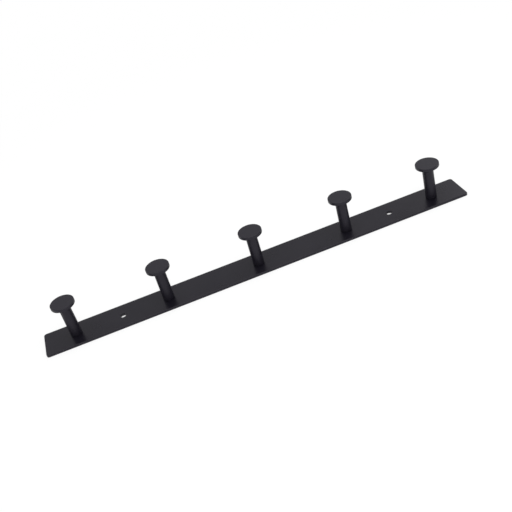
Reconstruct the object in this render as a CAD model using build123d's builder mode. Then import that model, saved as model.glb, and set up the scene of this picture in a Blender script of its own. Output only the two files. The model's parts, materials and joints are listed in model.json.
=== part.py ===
"""Hook rack: a flat strip with a row of turned pegs, each held by a countersunk screw from the back.

It lies on its back: the wall face is at Z = 0, X runs along the strip and the pegs stand up along +Z.
The origin is the centre of the wall face. All sizes are in millimetres.
"""

import os
from math import cos, radians, tan

from build123d import *

# Back plate
plate_length = 500.0
plate_width = 40.0
plate_thickness = 3.0
plate_corner_radius = 3.0
plate_front_rounding = 0.5
plate_back_rounding = 0.3

# Row of pegs
peg_count = 5
end_margin = 36.0  # from the plate's end to the axis of the outermost peg

# Peg
peg_height = 44.0  # from the plate's front face to the top of the head
shank_foot_diameter = 13.0
shank_neck_diameter = 12.6
foot_chamfer = 0.3
neck_flare_height = 7.0  # how far below the head the shank starts to flare
head_diameter = 26.8
head_thickness = 3.6
head_lip = 4.5  # flat ring between the flare and the head's rim
head_top_rounding = 0.4
head_under_rounding = 0.4

# Holes for the wall screws
wall_hole_diameter = 7.0
wall_hole_chamfer = 0.3

# Peg screw, a countersunk machine screw with a hexagon socket
screw_diameter = 4.0
screw_length = 12.0
screw_head_diameter = 7.5
screw_head_angle = 90.0
screw_head_rim = 0.25
screw_tip_chamfer = 0.6
socket_across_flats = 2.5
socket_depth = 1.4
head_recess = 0.15  # how far the screw's head stays below the wall face

# Clearances round the peg screw
plate_hole_clearance = 0.25
seat_clearance = 0.05
thread_clearance = 0.05
thread_run_out = 1.5  # drilled depth past the screw's tip
drill_point_angle = 118.0

# Places worked out from the sizes above
peg_pitch = (plate_length - 2 * end_margin) / (peg_count - 1)
peg_places = [peg_pitch * (number - (peg_count - 1) / 2) for number in range(peg_count)]
wall_hole_places = [(peg_places[0] + peg_places[1]) / 2, (peg_places[-2] + peg_places[-1]) / 2]
head_flare = tan(radians(screw_head_angle / 2))
seat_gap = seat_clearance / cos(radians(screw_head_angle / 2))
seat_radius = screw_head_diameter / 2 + head_flare * (head_recess + screw_head_rim) + seat_gap
thread_bore_radius = screw_diameter / 2 + thread_clearance
thread_bore_depth = head_recess + screw_length - plate_thickness + thread_run_out
drill_point_depth = thread_bore_radius / tan(radians(drill_point_angle / 2))

os.makedirs("parts", exist_ok=True)


def section_plane(axis_x, height):
    """The upright plane through an axis, with its X outwards along the strip and its Y upwards."""
    return Plane(origin=(axis_x, 0, height), x_dir=(1, 0, 0), z_dir=(0, -1, 0))


def upright_axis(axis_x):
    """The axis that a peg and its screw are turned about."""
    return Axis((axis_x, 0, 0), (0, 0, 1))


# Back plate: the strip, its two wall holes and a countersunk hole behind each peg
with BuildPart() as back_plate:
    with BuildSketch():
        RectangleRounded(plate_length, plate_width, plate_corner_radius)
    extrude(amount=plate_thickness)
    fillet(back_plate.faces().sort_by(Axis.Z)[-1].edges(), radius=plate_front_rounding)
    fillet(back_plate.faces().sort_by(Axis.Z)[0].edges(), radius=plate_back_rounding)

    with Locations(*[(place, 0, plate_thickness) for place in wall_hole_places]):
        Hole(radius=wall_hole_diameter / 2, depth=plate_thickness)
    wall_hole_rims = back_plate.edges(Select.LAST).filter_by(GeomType.CIRCLE)
    chamfer(wall_hole_rims.group_by(Axis.Z)[-1], length=wall_hole_chamfer)

    wall_face = Plane(origin=(0, 0, 0), x_dir=(1, 0, 0), z_dir=(0, 0, -1))
    with Locations(wall_face):
        with Locations(*[(place, 0) for place in peg_places]):
            CounterSinkHole(
                radius=screw_diameter / 2 + plate_hole_clearance,
                counter_sink_radius=seat_radius,
                depth=plate_thickness,
                counter_sink_angle=screw_head_angle,
            )
back_plate.part.label = "back_plate"
export_step(back_plate.part, "parts/back_plate.step")


def turned_peg(axis_x):
    """A turned peg: tapered shank, trumpet neck, disc head, and a blind threaded hole in its foot."""
    foot_radius = shank_foot_diameter / 2
    neck_radius = shank_neck_diameter / 2
    head_radius = head_diameter / 2
    head_underside = peg_height - head_thickness
    flare_start = head_underside - neck_flare_height
    with BuildPart() as peg:
        with BuildSketch(section_plane(axis_x, plate_thickness)):
            with BuildLine():
                outside = Polyline((foot_radius, 0), (neck_radius, flare_start))
                flare = TangentArc(outside @ 1, (head_radius - head_lip, head_underside), tangent=outside % 1)
                Polyline(
                    flare @ 1,
                    (head_radius, head_underside),
                    (head_radius, peg_height),
                    (0, peg_height),
                    (0, thread_bore_depth + drill_point_depth),
                    (thread_bore_radius, thread_bore_depth),
                    (thread_bore_radius, 0),
                    outside @ 0,
                )
            make_face()
        revolve(axis=upright_axis(axis_x))
        rims = peg.edges().filter_by(GeomType.CIRCLE)
        foot_rim = rims.group_by(Axis.Z)[0].sort_by(SortBy.RADIUS)[-1]
        head_under_rim = rims.group_by(Axis.Z)[-2].sort_by(SortBy.RADIUS)[-1]
        head_top_rim = rims.group_by(Axis.Z)[-1]
        chamfer(foot_rim, length=foot_chamfer)
        fillet(head_under_rim, radius=head_under_rounding)
        fillet(head_top_rim, radius=head_top_rounding)
    return peg.part


# Pegs, one piece each
for number, place in enumerate(peg_places, start=1):
    peg = turned_peg(place)
    peg.label = f"peg_{number}"
    export_step(peg, f"parts/peg_{number}.step")


# Peg screws: one screw is turned at the middle of the strip, then set under every peg
with BuildPart() as screw:
    shank_radius = screw_diameter / 2
    head_radius = screw_head_diameter / 2
    cone_end = screw_head_rim + (head_radius - shank_radius) / head_flare
    with BuildSketch(section_plane(0, head_recess)):
        with BuildLine():
            Polyline(
                (0, 0),
                (head_radius, 0),
                (head_radius, screw_head_rim),
                (shank_radius, cone_end),
                (shank_radius, screw_length - screw_tip_chamfer),
                (shank_radius - screw_tip_chamfer, screw_length),
                (0, screw_length),
                close=True,
            )
        make_face()
    revolve(axis=upright_axis(0))
    with BuildSketch(Plane.XY.offset(head_recess)):
        RegularPolygon(radius=socket_across_flats / 2, side_count=6, major_radius=False)
    extrude(amount=socket_depth, mode=Mode.SUBTRACT)

with BuildPart() as peg_screws:
    with Locations(*[(place, 0, 0) for place in peg_places]):
        add(screw.part)
peg_screws.part.label = "peg_screws"
export_step(peg_screws.part, "parts/peg_screws.step")
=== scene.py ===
"""Hook rack: the powder-coated strip, its turned pegs and the screws behind them, on a white studio floor."""

import json
from math import ceil, cos, pi, radians, sin, sqrt, tan

import bmesh
import bpy
from bpy.props import FloatProperty, FloatVectorProperty, IntProperty, PointerProperty
from mathutils import Matrix, Vector


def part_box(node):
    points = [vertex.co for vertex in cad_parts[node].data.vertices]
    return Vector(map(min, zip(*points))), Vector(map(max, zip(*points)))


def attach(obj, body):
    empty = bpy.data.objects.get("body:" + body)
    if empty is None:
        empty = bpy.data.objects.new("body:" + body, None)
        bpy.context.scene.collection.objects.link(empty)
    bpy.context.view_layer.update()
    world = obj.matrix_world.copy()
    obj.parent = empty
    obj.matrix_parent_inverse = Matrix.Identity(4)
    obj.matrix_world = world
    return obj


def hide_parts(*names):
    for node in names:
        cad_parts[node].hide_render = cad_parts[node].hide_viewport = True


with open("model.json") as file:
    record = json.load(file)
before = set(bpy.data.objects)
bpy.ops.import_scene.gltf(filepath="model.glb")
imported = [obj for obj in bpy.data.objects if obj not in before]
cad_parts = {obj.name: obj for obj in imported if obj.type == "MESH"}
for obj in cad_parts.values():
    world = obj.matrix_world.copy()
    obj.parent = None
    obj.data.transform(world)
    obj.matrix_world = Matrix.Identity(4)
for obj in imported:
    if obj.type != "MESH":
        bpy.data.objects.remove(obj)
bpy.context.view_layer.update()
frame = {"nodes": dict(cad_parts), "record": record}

bl_info = {
    "name": "Hook rack",
    "version": (1, 0, 0),
    "blender": (4, 5, 0),
    "location": "3D View > Sidebar > Hook rack",
    "description": "Builds a powder-coated wall rack with a row of turned pegs",
    "category": "Object",
}

MM = 0.001
PHOTO_WIDTH = 512  # pixels
SENSOR_WIDTH = 36.0  # millimetres
NEAR = 0.01 * MM  # places closer than this count as the same
WELD = 0.001 * MM  # corners closer than this are joined
EXACT_CUT = 0.0001 * MM
DRILL_SIDES = 64
CORNER_SEGMENTS = 10
FLARE_STEPS = 18
DRILL_POINT = radians(118)
FLOOR_SIZE = 12.0
FLOOR_GAP = 0.1 * MM  # the floor lies this far below the strip's back
ROUND = (1.0, 1.0, 1.0)  # an oval as long as it is wide
UNDER_START, UNDER_END = 0.8, 0.95  # edges of the shaded floor, as shares of the strip's half sizes
HORIZON_END = radians(4)  # the room starts to dim above this height angle
SKY_START = radians(32)  # and is at its dimmest from this one up

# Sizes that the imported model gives
PEG_NODES = sorted(name for name in frame["nodes"] if name.startswith("peg_") and name != "peg_screws")
PLATE_LOW, PLATE_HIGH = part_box("back_plate")
PEG_LOW, PEG_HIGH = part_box(PEG_NODES[0])
SCREW_LOW, SCREW_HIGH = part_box("peg_screws")
WALL_HOLES = next(mount["dims"] for mount in frame["record"]["mounts"] if mount["name"] == "wall_screws")


def peg_places():
    """The X of each peg's axis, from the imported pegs."""
    return [sum(corner.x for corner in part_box(name)) / 2 for name in PEG_NODES]


def length(name, description, default):
    """A size that a user may change, in metres."""
    return FloatProperty(
        name=name,
        description=description,
        default=default,
        min=0.0,
        precision=5,
        subtype="DISTANCE",
        unit="LENGTH",
    )


def place(name, description, default):
    """A place that a user may change, in metres."""
    return FloatVectorProperty(
        name=name,
        description=description,
        default=default,
        precision=5,
        subtype="TRANSLATION",
        unit="LENGTH",
    )


def colour(name, description, default):
    """A linear colour that a user may change."""
    return FloatVectorProperty(
        name=name, description=description, default=default, size=4, min=0.0, max=1.0, subtype="COLOR"
    )


class RackSizes(bpy.types.PropertyGroup):
    """Sizes of the strip, the pegs and the screws."""

    plate_length: length("Length", "Length of the strip", PLATE_HIGH.x - PLATE_LOW.x)
    plate_width: length("Width", "Width of the strip", PLATE_HIGH.y - PLATE_LOW.y)
    plate_thickness: length("Thickness", "Thickness of the strip", PLATE_HIGH.z - PLATE_LOW.z)
    corner_radius: length("Corner radius", "Radius of the strip's corners", 3.0 * MM)
    front_rounding: length("Front rounding", "Rounding of the strip's front edges", 0.5 * MM)
    back_rounding: length("Back rounding", "Rounding of the strip's back edges", 0.3 * MM)
    wall_hole_radius: length(
        "Wall hole radius", "Radius of the wall screws' holes", WALL_HOLES["hole_r_mm"] * MM
    )
    wall_hole_spacing: length(
        "Wall hole spacing", "From one wall hole to the other", WALL_HOLES["spacing_x_mm"] * MM
    )
    wall_hole_edge: length("Wall hole edge", "Broken edge of the wall holes at the front", 0.3 * MM)

    head_radius: length("Head radius", "Radius of a peg's head", (PEG_HIGH.x - PEG_LOW.x) / 2)
    peg_height: length("Peg height", "From the strip to the top of a peg", PEG_HIGH.z - PEG_LOW.z)
    head_thickness: length("Head thickness", "Thickness of a peg's head", 3.6 * MM)
    head_lip: length("Head lip", "Flat ring between the flare and the head's rim", 4.5 * MM)
    flare_height: length("Flare height", "How far below the head the shank starts to flare", 7.0 * MM)
    foot_radius: length("Foot radius", "Radius of the shank at its foot", 6.5 * MM)
    neck_radius: length("Neck radius", "Radius of the shank where its flare starts", 6.3 * MM)
    foot_edge: length("Foot edge", "Broken edge of the shank's foot", 0.3 * MM)
    head_top_rounding: length("Head top rounding", "Rounding of the head's upper rim", 0.4 * MM)
    head_under_rounding: length("Head under rounding", "Rounding of the head's lower rim", 0.4 * MM)
    turned_sides: IntProperty(
        name="Turned sides", description="Sides of a turned piece", default=128, min=24
    )

    screw_radius: length("Screw radius", "Outer radius of a screw's thread", 2.0 * MM)
    screw_root_radius: length("Thread root", "Radius at the bottom of the thread", 1.57 * MM)
    screw_pitch: length("Thread pitch", "From one turn of the thread to the next", 0.7 * MM)
    thread_steps: IntProperty(
        name="Thread steps", description="Steps in one turn of the thread", default=30, min=8
    )
    screw_head_radius: length(
        "Screw head radius", "Radius of a screw's head", (SCREW_HIGH.y - SCREW_LOW.y) / 2
    )
    screw_head_rim: length("Screw head rim", "Upright rim of a screw's head", 0.25 * MM)
    screw_recess: length("Screw recess", "How far a screw's head lies below the back", SCREW_LOW.z)
    screw_length: length("Screw length", "Length of a screw", SCREW_HIGH.z - SCREW_LOW.z)
    screw_tip: length("Screw tip", "Chamfer of a screw's tip", 0.6 * MM)
    socket_flats: length("Socket", "Hexagon socket across its flats", 2.5 * MM)
    socket_depth: length("Socket depth", "Depth of the hexagon socket", 1.4 * MM)
    seat_gap: length("Seat gap", "Gap between a screw's head and its countersink", 0.05 * MM)
    plate_hole_radius: length("Screw hole radius", "Radius of the strip's holes for the screws", 2.25 * MM)
    bore_radius: length("Bore radius", "Radius of the threaded hole in a peg", 2.05 * MM)
    bore_depth: length("Bore depth", "Depth of the threaded hole in a peg", 10.65 * MM)


class RackFinish(bpy.types.PropertyGroup):
    """Colours and gloss of the coat and of the screws."""

    plate_colour: colour("Plate coat", "Colour of the strip's powder coat", (0.0062, 0.0055, 0.0092, 1.0))
    plate_cloud: colour(
        "Plate cloud", "Colour where the strip's coat is a shade paler", (0.0076, 0.0068, 0.0110, 1.0)
    )
    peg_colour: colour("Peg coat", "Colour of the pegs' powder coat", (0.0079, 0.0070, 0.0118, 1.0))
    peg_cloud: colour(
        "Peg cloud", "Colour where the pegs' coat is a shade paler", (0.0097, 0.0087, 0.0140, 1.0)
    )
    plate_roughness: FloatProperty(
        name="Plate roughness", description="Roughness of the strip's coat", default=0.3
    )
    peg_roughness: FloatProperty(
        name="Peg roughness", description="Roughness of the pegs' coat", default=0.42
    )
    coat_gloss: FloatProperty(
        name="Coat gloss", description="Strength of the coat's reflections", default=0.33
    )
    gloss_tint: colour("Gloss tint", "Tint of the coat's reflections", (0.92, 0.88, 1.0, 1.0))
    zinc_colour: colour("Zinc", "Colour of the plated screws", (0.56, 0.56, 0.58, 1.0))
    zinc_cloud: colour("Zinc cloud", "Colour where the plating is duller", (0.42, 0.42, 0.43, 1.0))
    zinc_roughness: FloatProperty(
        name="Zinc roughness", description="Roughness of the plating", default=0.32
    )


class RackView(bpy.types.PropertyGroup):
    """Where the camera stands, and how bright the studio is."""

    azimuth: FloatProperty(
        name="Azimuth", description="Camera's turn about the rack", default=radians(-7.93), subtype="ANGLE"
    )
    elevation: FloatProperty(
        name="Elevation", description="Camera's height angle", default=radians(33.97), subtype="ANGLE"
    )
    roll: FloatProperty(
        name="Roll", description="Camera's turn about its own axis", default=radians(-16.61), subtype="ANGLE"
    )
    distance: length("Distance", "From the camera to its target", 899.7 * MM)
    target: place("Target", "Point that the camera looks at", (1.77 * MM, 19.13 * MM, 0.0))
    focal_pixels: FloatProperty(
        name="Focal length", description="Focal length in pixels of the photograph", default=787.7
    )
    floor_colour: colour("Floor", "Colour of the floor", (0.97, 0.97, 0.97, 1.0))
    floor_white: FloatProperty(
        name="Floor white",
        description="Share of plain white that the camera sees in the floor near the rack",
        default=0.75,
        subtype="FACTOR",
    )
    hole_white: FloatProperty(
        name="Hole white",
        description="Share of that white which is left under the strip, where the wall holes show the floor",
        default=0.2,
        subtype="FACTOR",
    )
    white_from: length(
        "White from", "From the rack's middle to where the floor starts to turn plain white", 300 * MM
    )
    white_beyond: length(
        "White beyond", "From the rack's middle to where the floor is plain white", 800 * MM
    )
    horizon_level: FloatProperty(
        name="Horizon level", description="Strength of the light from low down", default=1.0
    )
    sky_level: FloatProperty(
        name="Sky level", description="Strength of the light from high up", default=0.55
    )
    key_power: FloatProperty(
        name="Key power", description="Power of the soft lamp above", default=60.0, subtype="POWER"
    )
    key_place: place("Key place", "Where the soft lamp above hangs", (0.3, -0.4, 3.0))
    key_size: length("Key size", "Side of the soft lamp above", 3.0)
    rim_power: FloatProperty(
        name="Rim power", description="Power of the soft lamp behind", default=2.0, subtype="POWER"
    )
    rim_place: place("Rim place", "Where the soft lamp behind stands", (1.3, 1.1, 1.05))
    rim_size: length("Rim size", "Side of the soft lamp behind", 0.9)


# Modelling tools


def begin():
    """Leave edit mode and deselect everything, so that an operator acts only on the new piece."""
    if bpy.context.object is not None and bpy.context.object.mode != "OBJECT":
        bpy.ops.object.mode_set(mode="OBJECT")
    bpy.ops.object.select_all(action="DESELECT")


def activate(piece):
    """Make one piece the only selected and active one."""
    begin()
    piece.select_set(True)
    bpy.context.view_layer.objects.active = piece


def name_new(name):
    """Name the primitive just added, and put its place and size into its mesh."""
    bpy.ops.object.transform_apply(location=True, rotation=True, scale=True)
    piece = bpy.context.object
    piece.name = name
    piece.data.name = name
    return piece


def pick_edges(piece, wanted):
    """In edit mode, select the edges whose ends both pass a test of their place."""
    bpy.ops.mesh.select_mode(type="EDGE")
    bpy.ops.mesh.select_all(action="DESELECT")
    mesh = bmesh.from_edit_mesh(piece.data)
    for edge in mesh.edges:
        edge.select_set(all(wanted(corner.co) for corner in edge.verts))
    bmesh.update_edit_mesh(piece.data)


def pick_face(piece, wanted):
    """In edit mode, select the faces whose centre passes a test of its place."""
    bpy.ops.mesh.select_mode(type="FACE")
    bpy.ops.mesh.select_all(action="DESELECT")
    mesh = bmesh.from_edit_mesh(piece.data)
    for face in mesh.faces:
        face.select_set(wanted(face.calc_center_median()))
    bmesh.update_edit_mesh(piece.data)


def on_ring(radius, height, centre_x=0.0):
    """A test for points on a level ring about an upright axis."""

    def test(point):
        out = sqrt((point.x - centre_x) ** 2 + point.y**2)
        return abs(out - radius) < NEAR and abs(point.z - height) < NEAR

    return test


def round_edges(piece, wanted, radius, segments):
    """Round the edges that pass a test of their place."""
    pick_edges(piece, wanted)
    bpy.ops.mesh.bevel(offset=radius, offset_type="OFFSET", segments=segments, profile=0.5, affect="EDGES")


def tangent_arc(before, start, end, steps):
    """Points after the start of an arc that goes on from a straight line and reaches the end."""
    origin, finish = Vector(start), Vector(end)
    along = (origin - Vector(before)).normalized()
    outwards = Vector((along.y, -along.x))
    chord = finish - origin
    radius = chord.length_squared / (2 * chord.dot(outwards))
    turn = 2 * along.angle(chord)
    centre = origin + radius * outwards
    points = []
    for step in range(1, steps + 1):
        angle = turn * step / steps
        point = centre + radius * (sin(angle) * along - cos(angle) * outwards)
        points.append((point.x, point.y))
    return points


def draw_up(rings):
    """In edit mode, draw the selected disc up from ring to ring, each a radius and a height."""
    for (radius, height), (next_radius, next_height) in zip(rings, rings[1:]):
        bpy.ops.mesh.extrude_region_move(TRANSFORM_OT_translate={"value": (0, 0, next_height - height)})
        ratio = next_radius / radius
        bpy.ops.transform.resize(value=(ratio, ratio, 1), center_override=(0, 0, next_height))


def turned(name, rings, sides):
    """A turned solid about the Z axis: a disc at the first ring, drawn up through the others."""
    begin()
    radius, height = rings[0]
    bpy.ops.mesh.primitive_circle_add(
        vertices=sides, radius=radius, fill_type="NGON", location=(0, 0, height)
    )
    piece = name_new(name)
    bpy.ops.object.mode_set(mode="EDIT")
    bpy.ops.mesh.select_all(action="SELECT")
    draw_up(rings)
    bpy.ops.mesh.select_all(action="SELECT")
    bpy.ops.mesh.normals_make_consistent(inside=False)
    bpy.ops.object.mode_set(mode="OBJECT")
    return piece


def shape_with(piece, tool, operation):
    """Cut a tool out of a piece, or join it on, and throw the tool away."""
    activate(piece)
    modifier = piece.modifiers.new(operation.title(), "BOOLEAN")
    modifier.operation = operation
    modifier.solver = "EXACT"
    modifier.object = tool
    bpy.ops.object.modifier_apply(modifier=modifier.name)
    bpy.data.objects.remove(tool)


def weld(piece):
    """Join corners that lie closer together than a cut can tell apart."""
    activate(piece)
    bpy.ops.object.mode_set(mode="EDIT")
    bpy.ops.mesh.select_mode(type="VERT")
    bpy.ops.mesh.select_all(action="SELECT")
    bpy.ops.mesh.remove_doubles(threshold=WELD)
    bpy.ops.mesh.dissolve_degenerate(threshold=WELD)
    bpy.ops.object.mode_set(mode="OBJECT")


def soften(piece, angle=radians(40)):
    """Shade the rounded edges smoothly, and keep the flats flat."""
    activate(piece)
    bpy.ops.object.shade_smooth_by_angle(angle=angle)
    modifier = piece.modifiers.new("Flat faces", "WEIGHTED_NORMAL")
    modifier.keep_sharp = True
    bpy.ops.object.modifier_apply(modifier=modifier.name)


def copy_at(piece, name, place_x):
    """A copy of a piece with its own mesh, set along the strip."""
    copy = piece.copy()
    copy.data = piece.data.copy()
    copy.name = name
    copy.data.name = name
    copy.data.transform(Matrix.Translation((place_x, 0, 0)))
    bpy.context.scene.collection.objects.link(copy)
    return copy


def dress(piece, material, slot, *nodes):
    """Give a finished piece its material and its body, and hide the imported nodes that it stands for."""
    piece.data.materials.clear()
    piece.data.materials.append(material)
    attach(piece, "root")
    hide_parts(*nodes)


# Materials


def add_node(tree, kind, x, y, **settings):
    """A shader node at a place in the editor."""
    node = tree.nodes.new(kind)
    node.location = (x, y)
    for name, value in settings.items():
        setattr(node, name, value)
    return node


def surface_grain():
    """Node group: the fine peel of a coat as a height, and slow clouds over the surface as a mask."""
    name = "Surface grain"
    if name in bpy.data.node_groups:
        return bpy.data.node_groups[name]
    group = bpy.data.node_groups.new(name, "ShaderNodeTree")
    group.interface.new_socket("Place", in_out="INPUT", socket_type="NodeSocketVector")
    group.interface.new_socket("Grain scale", in_out="INPUT", socket_type="NodeSocketFloat")
    group.interface.new_socket("Cloud scale", in_out="INPUT", socket_type="NodeSocketFloat")
    group.interface.new_socket("Height", in_out="OUTPUT", socket_type="NodeSocketFloat")
    group.interface.new_socket("Cloud", in_out="OUTPUT", socket_type="NodeSocketFloat")
    inputs = add_node(group, "NodeGroupInput", -700, 0)
    outputs = add_node(group, "NodeGroupOutput", 300, 0)
    grain = add_node(group, "ShaderNodeTexNoise", -450, 200)
    grain.inputs["Detail"].default_value = 2.0
    cloud = add_node(group, "ShaderNodeTexNoise", -450, -150)
    cloud.inputs["Detail"].default_value = 4.0
    contrast = add_node(group, "ShaderNodeMapRange", -150, -150)
    contrast.inputs["From Min"].default_value = 0.35
    contrast.inputs["From Max"].default_value = 0.65
    for noise, scale in ((grain, "Grain scale"), (cloud, "Cloud scale")):
        group.links.new(inputs.outputs["Place"], noise.inputs["Vector"])
        group.links.new(inputs.outputs[scale], noise.inputs["Scale"])
    group.links.new(cloud.outputs["Fac"], contrast.inputs["Value"])
    group.links.new(grain.outputs["Fac"], outputs.inputs["Height"])
    group.links.new(contrast.outputs["Result"], outputs.inputs["Cloud"])
    return group


def finish_material(name, colours, roughness, spread, grain_scale, cloud_scale, bump, bump_depth):
    """A metal finish whose colour and roughness drift in slow clouds over a fine bumpy grain."""
    if name in bpy.data.materials:
        return bpy.data.materials[name]
    material = bpy.data.materials.new(name)
    material.use_nodes = True
    tree = material.node_tree
    shader = tree.nodes["Principled BSDF"]
    place = add_node(tree, "ShaderNodeTexCoord", -1100, 0)
    grain = add_node(tree, "ShaderNodeGroup", -850, 0, node_tree=surface_grain())
    grain.inputs["Grain scale"].default_value = grain_scale
    grain.inputs["Cloud scale"].default_value = cloud_scale
    tint = add_node(tree, "ShaderNodeMix", -450, 250, data_type="RGBA")
    tint.inputs["A"].default_value, tint.inputs["B"].default_value = colours
    gloss = add_node(tree, "ShaderNodeMapRange", -450, 0)
    gloss.inputs["To Min"].default_value = roughness - spread
    gloss.inputs["To Max"].default_value = roughness + spread
    relief = add_node(tree, "ShaderNodeBump", -450, -300)
    relief.inputs["Strength"].default_value = bump
    relief.inputs["Distance"].default_value = bump_depth
    tree.links.new(place.outputs["Object"], grain.inputs["Place"])
    tree.links.new(grain.outputs["Cloud"], tint.inputs["Factor"])
    tree.links.new(grain.outputs["Cloud"], gloss.inputs["Value"])
    tree.links.new(grain.outputs["Height"], relief.inputs["Height"])
    tree.links.new(tint.outputs["Result"], shader.inputs["Base Color"])
    tree.links.new(gloss.outputs["Result"], shader.inputs["Roughness"])
    tree.links.new(relief.outputs["Normal"], shader.inputs["Normal"])
    return material


def powder_coat(name, colours, roughness, finish):
    """Satin black powder coat, with the faint peel that the powder leaves when it is baked."""
    material = finish_material(
        name,
        colours,
        roughness,
        spread=0.03,
        grain_scale=1100,
        cloud_scale=28,
        bump=0.25,
        bump_depth=0.02 * MM,
    )
    shader = material.node_tree.nodes["Principled BSDF"]
    shader.inputs["Specular IOR Level"].default_value = finish.coat_gloss
    shader.inputs["Specular Tint"].default_value = finish.gloss_tint
    return material


def zinc_plate(finish):
    """Bright zinc plating on the screws."""
    material = finish_material(
        "Zinc plate",
        (finish.zinc_colour, finish.zinc_cloud),
        finish.zinc_roughness,
        spread=0.06,
        grain_scale=2600,
        cloud_scale=420,
        bump=0.15,
        bump_depth=0.01 * MM,
    )
    material.node_tree.nodes["Principled BSDF"].inputs["Metallic"].default_value = 1.0
    return material


# Pieces


class RACK_OT_plate(bpy.types.Operator):
    """Build the strip with its rounded corners, its wall holes and the countersinks at the back"""

    bl_idname = "rack.plate"
    bl_label = "Back plate"

    def execute(self, context):
        sizes = context.scene.rack_sizes
        begin()
        bpy.ops.mesh.primitive_cube_add(
            size=1,
            location=(0, 0, sizes.plate_thickness / 2),
            scale=(sizes.plate_length, sizes.plate_width, sizes.plate_thickness),
        )
        plate = name_new("coated_plate")
        self.round_outline(plate, sizes)
        self.cut_wall_holes(plate, sizes)
        self.cut_countersinks(plate, sizes)
        soften(plate)
        finish = context.scene.rack_finish
        colours = (finish.plate_colour, finish.plate_cloud)
        coat = powder_coat("Plate coat", colours, finish.plate_roughness, finish)
        dress(plate, coat, "powder_coat", "back_plate")
        return {"FINISHED"}

    def round_outline(self, plate, sizes):
        """Round the four corners, then the edges round the front and the back."""
        activate(plate)
        bpy.ops.object.mode_set(mode="EDIT")
        bpy.ops.mesh.select_mode(type="EDGE")
        bpy.ops.mesh.select_all(action="DESELECT")
        mesh = bmesh.from_edit_mesh(plate.data)
        for edge in mesh.edges:
            low, high = sorted(corner.co.z for corner in edge.verts)
            edge.select_set(high - low > sizes.plate_thickness / 2)
        bmesh.update_edit_mesh(plate.data)
        bpy.ops.mesh.bevel(offset=sizes.corner_radius, segments=CORNER_SEGMENTS, profile=0.5, affect="EDGES")
        round_edges(plate, lambda point: abs(point.z - sizes.plate_thickness) < NEAR, sizes.front_rounding, 4)
        round_edges(plate, lambda point: abs(point.z) < NEAR, sizes.back_rounding, 3)
        bpy.ops.object.mode_set(mode="OBJECT")

    def cut_wall_holes(self, plate, sizes):
        """Cut the two plain holes and break their front edges."""
        beyond = sizes.plate_thickness
        rings = [(sizes.wall_hole_radius, -beyond), (sizes.wall_hole_radius, sizes.plate_thickness + beyond)]
        places = (-sizes.wall_hole_spacing / 2, sizes.wall_hole_spacing / 2)
        drill = turned("drill", rings, DRILL_SIDES)
        for place in places:
            shape_with(plate, copy_at(drill, "wall_drill", place), "DIFFERENCE")
        bpy.data.objects.remove(drill)
        activate(plate)
        bpy.ops.object.mode_set(mode="EDIT")
        for place in places:
            rim = on_ring(sizes.wall_hole_radius, sizes.plate_thickness, place)
            round_edges(plate, rim, sizes.wall_hole_edge, 3)
        bpy.ops.object.mode_set(mode="OBJECT")

    def cut_countersinks(self, plate, sizes):
        """Cut a countersunk hole from the back behind each peg."""
        beyond = sizes.plate_thickness
        seat = sizes.screw_head_radius + sizes.screw_recess + sizes.screw_head_rim + sizes.seat_gap * sqrt(2)
        rings = [
            (seat + beyond, -beyond),
            (sizes.plate_hole_radius, seat - sizes.plate_hole_radius),
            (sizes.plate_hole_radius, sizes.plate_thickness + beyond),
        ]
        drill = turned("countersink", rings, DRILL_SIDES)
        for place in peg_places():
            shape_with(plate, copy_at(drill, "peg_drill", place), "DIFFERENCE")
        bpy.data.objects.remove(drill)


class RACK_OT_pegs(bpy.types.Operator):
    """Turn one peg with its disc head, flared neck and threaded hole, and copy it along the strip"""

    bl_idname = "rack.pegs"
    bl_label = "Pegs"

    def execute(self, context):
        sizes = context.scene.rack_sizes
        foot = sizes.plate_thickness
        top = foot + sizes.peg_height
        under = top - sizes.head_thickness
        shank = [(sizes.foot_radius, foot), (sizes.neck_radius, under - sizes.flare_height)]
        flare = tangent_arc(*shank, (sizes.head_radius - sizes.head_lip, under), FLARE_STEPS)
        head = [(sizes.head_radius, under), (sizes.head_radius, top)]
        peg = turned("peg_blank", shank + flare + head, sizes.turned_sides)
        activate(peg)
        bpy.ops.object.mode_set(mode="EDIT")
        self.drill_foot(peg, sizes, foot)
        round_edges(peg, on_ring(sizes.head_radius, under), sizes.head_under_rounding, 5)
        round_edges(peg, on_ring(sizes.head_radius, top), sizes.head_top_rounding, 6)
        round_edges(peg, on_ring(sizes.foot_radius, foot), sizes.foot_edge, 1)
        bpy.ops.object.mode_set(mode="OBJECT")
        soften(peg)
        finish = context.scene.rack_finish
        colours = (finish.peg_colour, finish.peg_cloud)
        coat = powder_coat("Peg coat", colours, finish.peg_roughness, finish)
        for number, (node, place) in enumerate(zip(PEG_NODES, peg_places()), start=1):
            dress(copy_at(peg, f"coated_peg_{number}", place), coat, "powder_coat", node)
        bpy.data.objects.remove(peg)
        return {"FINISHED"}

    def drill_foot(self, peg, sizes, foot):
        """Sink the blind hole for the screw into the foot, with the cone that the drill leaves."""
        pick_face(peg, lambda centre: abs(centre.z - foot) < NEAR)
        ratio = sizes.bore_radius / sizes.foot_radius
        bpy.ops.mesh.extrude_region_move(TRANSFORM_OT_translate={"value": (0, 0, 0)})
        bpy.ops.transform.resize(value=(ratio, ratio, 1), center_override=(0, 0, foot))
        bpy.ops.mesh.extrude_region_move(TRANSFORM_OT_translate={"value": (0, 0, sizes.bore_depth)})
        cone_height = sizes.bore_radius / tan(DRILL_POINT / 2)
        bpy.ops.mesh.extrude_region_move(TRANSFORM_OT_translate={"value": (0, 0, cone_height)})
        bpy.ops.mesh.merge(type="CENTER")


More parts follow.
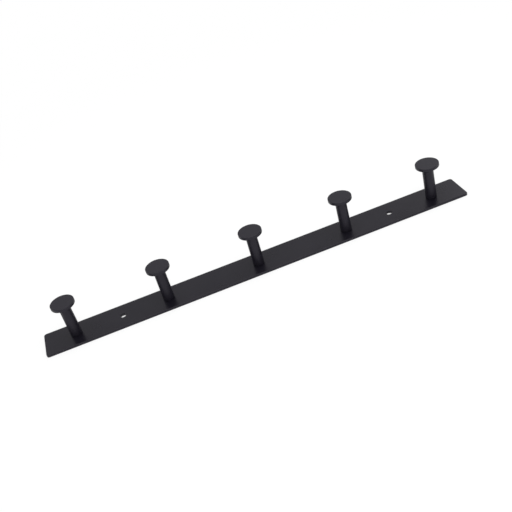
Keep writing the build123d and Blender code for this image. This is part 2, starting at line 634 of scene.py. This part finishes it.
class RACK_OT_screws(bpy.types.Operator):
    """Turn one countersunk screw with its thread and hexagon socket, and copy it behind every peg"""

    bl_idname = "rack.screws"
    bl_label = "Peg screws"

    def execute(self, context):
        sizes = context.scene.rack_sizes
        face = sizes.screw_recess
        tip = face + sizes.screw_length
        rim_end = face + sizes.screw_head_rim
        cone_end = rim_end + sizes.screw_head_radius - sizes.screw_root_radius
        rings = [
            (sizes.screw_head_radius, face),
            (sizes.screw_head_radius, rim_end),
            (sizes.screw_root_radius, cone_end),
        ]
        screw = turned("screw_blank", rings, sizes.turned_sides // 2)
        shape_with(screw, self.threaded_shank(sizes, (rim_end + cone_end) / 2, tip), "UNION")
        self.cut_socket(screw, sizes, face)
        weld(screw)
        soften(screw)
        copies = []
        for number, place in enumerate(peg_places(), start=1):
            copies.append(copy_at(screw, f"screw_{number}", place))
        bpy.data.objects.remove(screw)
        begin()
        for copy in copies:
            copy.select_set(True)
        bpy.context.view_layer.objects.active = copies[0]
        bpy.ops.object.join()
        screws = bpy.context.object
        screws.name = "plated_screws"
        screws.data.name = "plated_screws"
        dress(screws, zinc_plate(context.scene.rack_finish), "zinc_plate", "peg_screws")
        return {"FINISHED"}

    def threaded_shank(self, sizes, start, tip):
        """The threaded shank from inside the head's cone to the chamfered tip."""
        shank = self.wound_thread(sizes, start, tip + sizes.screw_pitch)
        spare = sizes.screw_pitch / 2
        rings = [
            (sizes.screw_radius + spare, start - spare),
            (sizes.screw_radius + spare, tip - sizes.screw_tip - spare),
            (sizes.screw_radius - sizes.screw_tip, tip),
        ]
        shape_with(shank, turned("tip_blank", rings, sizes.turned_sides // 2), "INTERSECT")
        return shank

    def wound_thread(self, sizes, low, high):
        """A threaded rod: one tooth's outline wound up the Z axis, then cut flat at both ends."""
        pitch = sizes.screw_pitch
        depth = sizes.screw_radius - sizes.screw_root_radius
        root_flat, crest_flat = pitch / 4, pitch / 8
        flank = (pitch - root_flat - crest_flat) / 2
        half_step = pitch / sizes.thread_steps / 2  # keeps the thread's corners off the cuts
        begin()
        start = (sizes.screw_root_radius, 0, low - pitch - half_step)
        bpy.ops.mesh.primitive_plane_add(size=pitch, location=start)
        rod = name_new("threaded_rod")
        bpy.ops.object.mode_set(mode="EDIT")
        bpy.ops.mesh.select_mode(type="VERT")
        bpy.ops.mesh.select_all(action="SELECT")
        bpy.ops.mesh.merge(type="CENTER")
        for step in ((0, 0, root_flat), (depth, 0, flank), (0, 0, crest_flat), (-depth, 0, flank)):
            bpy.ops.mesh.extrude_region_move(TRANSFORM_OT_translate={"value": step})
        bpy.ops.object.mode_set(mode="OBJECT")
        winding = rod.modifiers.new("Winding", "SCREW")
        winding.screw_offset = pitch
        winding.iterations = ceil((high - low) / pitch) + 2
        winding.steps = winding.render_steps = sizes.thread_steps
        bpy.ops.object.modifier_apply(modifier=winding.name)
        bpy.ops.object.mode_set(mode="EDIT")
        bpy.ops.mesh.select_all(action="SELECT")
        bpy.ops.mesh.remove_doubles(threshold=WELD)
        for height, below in ((low, True), (high, False)):
            bpy.ops.mesh.select_all(action="SELECT")
            bpy.ops.mesh.bisect(
                plane_co=(0, 0, height),
                plane_no=(0, 0, 1),
                use_fill=True,
                clear_inner=below,
                clear_outer=not below,
                threshold=EXACT_CUT,
            )
        bpy.ops.mesh.select_all(action="SELECT")
        bpy.ops.mesh.normals_make_consistent(inside=False)
        bpy.ops.object.mode_set(mode="OBJECT")
        return rod

    def cut_socket(self, screw, sizes, face):
        """Sink the hexagon socket into the head."""
        corner = sizes.socket_flats / 2 / cos(pi / 6)
        rings = [(corner, face - sizes.socket_depth), (corner, face + sizes.socket_depth)]
        shape_with(screw, turned("key", rings, 6), "DIFFERENCE")


class RACK_OT_stage(bpy.types.Operator):
    """Set up the pale floor, the soft light and the camera"""

    bl_idname = "rack.stage"
    bl_label = "Stage"

    def execute(self, context):
        view = context.scene.rack_view
        self.lay_floor(view)
        self.light_studio(context.scene, view)
        self.place_camera(context.scene, view)
        context.scene.view_settings.view_transform = "Standard"
        return {"FINISHED"}

    def seen_directly(self, tree, x, y):
        """A mask that is 1 for what the camera sees, straight or in a gloss or a glass."""
        path = add_node(tree, "ShaderNodeLightPath", x - 450, y)
        glossy = add_node(tree, "ShaderNodeMath", x - 220, y, operation="MAXIMUM")
        clear = add_node(tree, "ShaderNodeMath", x, y, operation="MAXIMUM")
        tree.links.new(path.outputs["Is Camera Ray"], glossy.inputs[0])
        tree.links.new(path.outputs["Is Glossy Ray"], glossy.inputs[1])
        tree.links.new(glossy.outputs[0], clear.inputs[0])
        tree.links.new(path.outputs["Is Transmission Ray"], clear.inputs[1])
        return clear.outputs[0]

    def rising_share(self, tree, oval, least, start, end, x, y):
        """A share that rises from its least to 1 between two ovals about the floor's middle."""
        place = add_node(tree, "ShaderNodeTexCoord", x - 670, y)
        shrunk = add_node(tree, "ShaderNodeVectorMath", x - 450, y, operation="DIVIDE")
        shrunk.inputs[1].default_value = oval
        distance = add_node(tree, "ShaderNodeVectorMath", x - 220, y, operation="LENGTH")
        share = add_node(tree, "ShaderNodeMapRange", x, y, interpolation_type="SMOOTHSTEP")
        share.inputs["From Min"].default_value = start
        share.inputs["From Max"].default_value = end
        share.inputs["To Min"].default_value = least
        share.inputs["To Max"].default_value = 1.0
        tree.links.new(place.outputs["Object"], shrunk.inputs[0])
        tree.links.new(shrunk.outputs["Vector"], distance.inputs[0])
        tree.links.new(distance.outputs["Value"], share.inputs["Value"])
        return share.outputs["Result"]

    def white_share(self, tree, view, x, y):
        """How much of the floor is plain white: little under the strip, more near it, and all farther out."""
        strip = (PLATE_HIGH.x, PLATE_HIGH.y, 1.0)
        start, end = view.white_from, view.white_beyond
        near = self.rising_share(tree, ROUND, view.floor_white, start, end, x - 220, y)
        under = self.rising_share(tree, strip, view.hole_white, UNDER_START, UNDER_END, x - 220, y + 300)
        share = add_node(tree, "ShaderNodeMath", x, y, operation="MULTIPLY")
        tree.links.new(near, share.inputs[0])
        tree.links.new(under, share.inputs[1])
        return share.outputs[0]

    def lay_floor(self, view):
        """A wide pale floor just under the strip's back, near white to the camera, with the rack's shadow."""
        begin()
        bpy.ops.mesh.primitive_plane_add(size=FLOOR_SIZE, location=(0, 0, PLATE_LOW.z - FLOOR_GAP))
        floor = name_new("studio_floor")
        material = bpy.data.materials.new("Pale floor")
        material.use_nodes = True
        tree = material.node_tree
        tree.nodes.clear()
        matt = add_node(tree, "ShaderNodeBsdfDiffuse", -200, 150)
        matt.inputs["Color"].default_value = view.floor_colour
        white = add_node(tree, "ShaderNodeEmission", -200, -50)
        share = add_node(tree, "ShaderNodeMath", -200, 350, operation="MULTIPLY")
        tree.links.new(self.seen_directly(tree, -450, 350), share.inputs[0])
        tree.links.new(self.white_share(tree, view, -450, 650), share.inputs[1])
        mix = add_node(tree, "ShaderNodeMixShader", 50, 150)
        tree.links.new(share.outputs[0], mix.inputs[0])
        tree.links.new(matt.outputs[0], mix.inputs[1])
        tree.links.new(white.outputs[0], mix.inputs[2])
        output = add_node(tree, "ShaderNodeOutputMaterial", 250, 150)
        tree.links.new(mix.outputs[0], output.inputs["Surface"])
        floor.data.materials.append(material)

    def light_studio(self, scene, view):
        """A room that is white low down and dims upwards, with a soft lamp above and one behind."""
        world = bpy.data.worlds.new("Studio")
        scene.world = world
        world.use_nodes = True
        tree = world.node_tree
        room = tree.nodes["Background"]
        place = add_node(tree, "ShaderNodeTexCoord", -800, 0)
        split = add_node(tree, "ShaderNodeSeparateXYZ", -600, 0)
        level = add_node(tree, "ShaderNodeMapRange", -400, 0, interpolation_type="SMOOTHSTEP")
        level.inputs["From Min"].default_value = sin(HORIZON_END)
        level.inputs["From Max"].default_value = sin(SKY_START)
        level.inputs["To Min"].default_value = view.horizon_level
        level.inputs["To Max"].default_value = view.sky_level
        tree.links.new(place.outputs["Generated"], split.inputs["Vector"])
        tree.links.new(split.outputs["Z"], level.inputs["Value"])
        tree.links.new(level.outputs["Result"], room.inputs["Strength"])
        room.inputs["Color"].default_value = (1, 1, 1, 1)
        self.hang_lamp(scene, "soft_key", view.key_place, view.key_size, view.key_power)
        self.hang_lamp(scene, "soft_rim", view.rim_place, view.rim_size, view.rim_power)

    def hang_lamp(self, scene, name, place, size, power):
        """A square lamp that points at the rack and stays out of the picture."""
        light = bpy.data.lights.new(name, "AREA")
        light.size = size
        light.energy = power
        lamp = bpy.data.objects.new(name, light)
        lamp.location = place
        lamp.rotation_euler = (-lamp.location).to_track_quat("-Z", "Y").to_euler()
        lamp.visible_camera = False
        scene.collection.objects.link(lamp)

    def place_camera(self, scene, view):
        """The photograph's camera, from its turn, height angle, roll and distance."""
        target = Vector(view.target)
        back = Vector(
            (
                sin(view.azimuth) * cos(view.elevation),
                -cos(view.azimuth) * cos(view.elevation),
                sin(view.elevation),
            )
        )
        right = (-back).cross(Vector((0, 0, 1))).normalized()
        up = right.cross(-back)
        side = cos(view.roll) * right + sin(view.roll) * up
        top = cos(view.roll) * up - sin(view.roll) * right
        lens = bpy.data.cameras.new("photo_camera")
        lens.sensor_width = SENSOR_WIDTH
        lens.lens = view.focal_pixels * SENSOR_WIDTH / PHOTO_WIDTH
        camera = bpy.data.objects.new("photo_camera", lens)
        place = target + back * view.distance
        turn = Matrix((side, top, back)).transposed().to_4x4()
        camera.matrix_world = Matrix.Translation(place) @ turn
        scene.collection.objects.link(camera)
        scene.camera = camera


class RACK_PT_panel(bpy.types.Panel):
    """Sidebar panel with the rack's pieces and their settings"""

    bl_idname = "RACK_PT_panel"
    bl_label = "Hook rack"
    bl_space_type = "VIEW_3D"
    bl_region_type = "UI"
    bl_category = "Hook rack"

    def draw(self, context):
        for piece in PIECE_OPERATORS:
            self.layout.operator(piece.bl_idname)
        for settings in (context.scene.rack_sizes, context.scene.rack_finish, context.scene.rack_view):
            box = self.layout.box()
            for name in settings.bl_rna.properties.keys():
                if name not in ("rna_type", "name"):
                    box.prop(settings, name)


PIECE_OPERATORS = (RACK_OT_plate, RACK_OT_pegs, RACK_OT_screws, RACK_OT_stage)
CLASSES = (RackSizes, RackFinish, RackView, *PIECE_OPERATORS, RACK_PT_panel)


def register():
    """Register the classes and hang the settings on the scene."""
    for item in CLASSES:
        bpy.utils.register_class(item)
    bpy.types.Scene.rack_sizes = PointerProperty(type=RackSizes)
    bpy.types.Scene.rack_finish = PointerProperty(type=RackFinish)
    bpy.types.Scene.rack_view = PointerProperty(type=RackView)


def unregister():
    """Take the settings and the classes away again."""
    del bpy.types.Scene.rack_view
    del bpy.types.Scene.rack_finish
    del bpy.types.Scene.rack_sizes
    for item in reversed(CLASSES):
        bpy.utils.unregister_class(item)


def main():
    """Build the pieces and the stage."""
    register()
    bpy.ops.rack.plate()
    bpy.ops.rack.pegs()
    bpy.ops.rack.screws()
    bpy.ops.rack.stage()


if __name__ == "__main__":
    main()
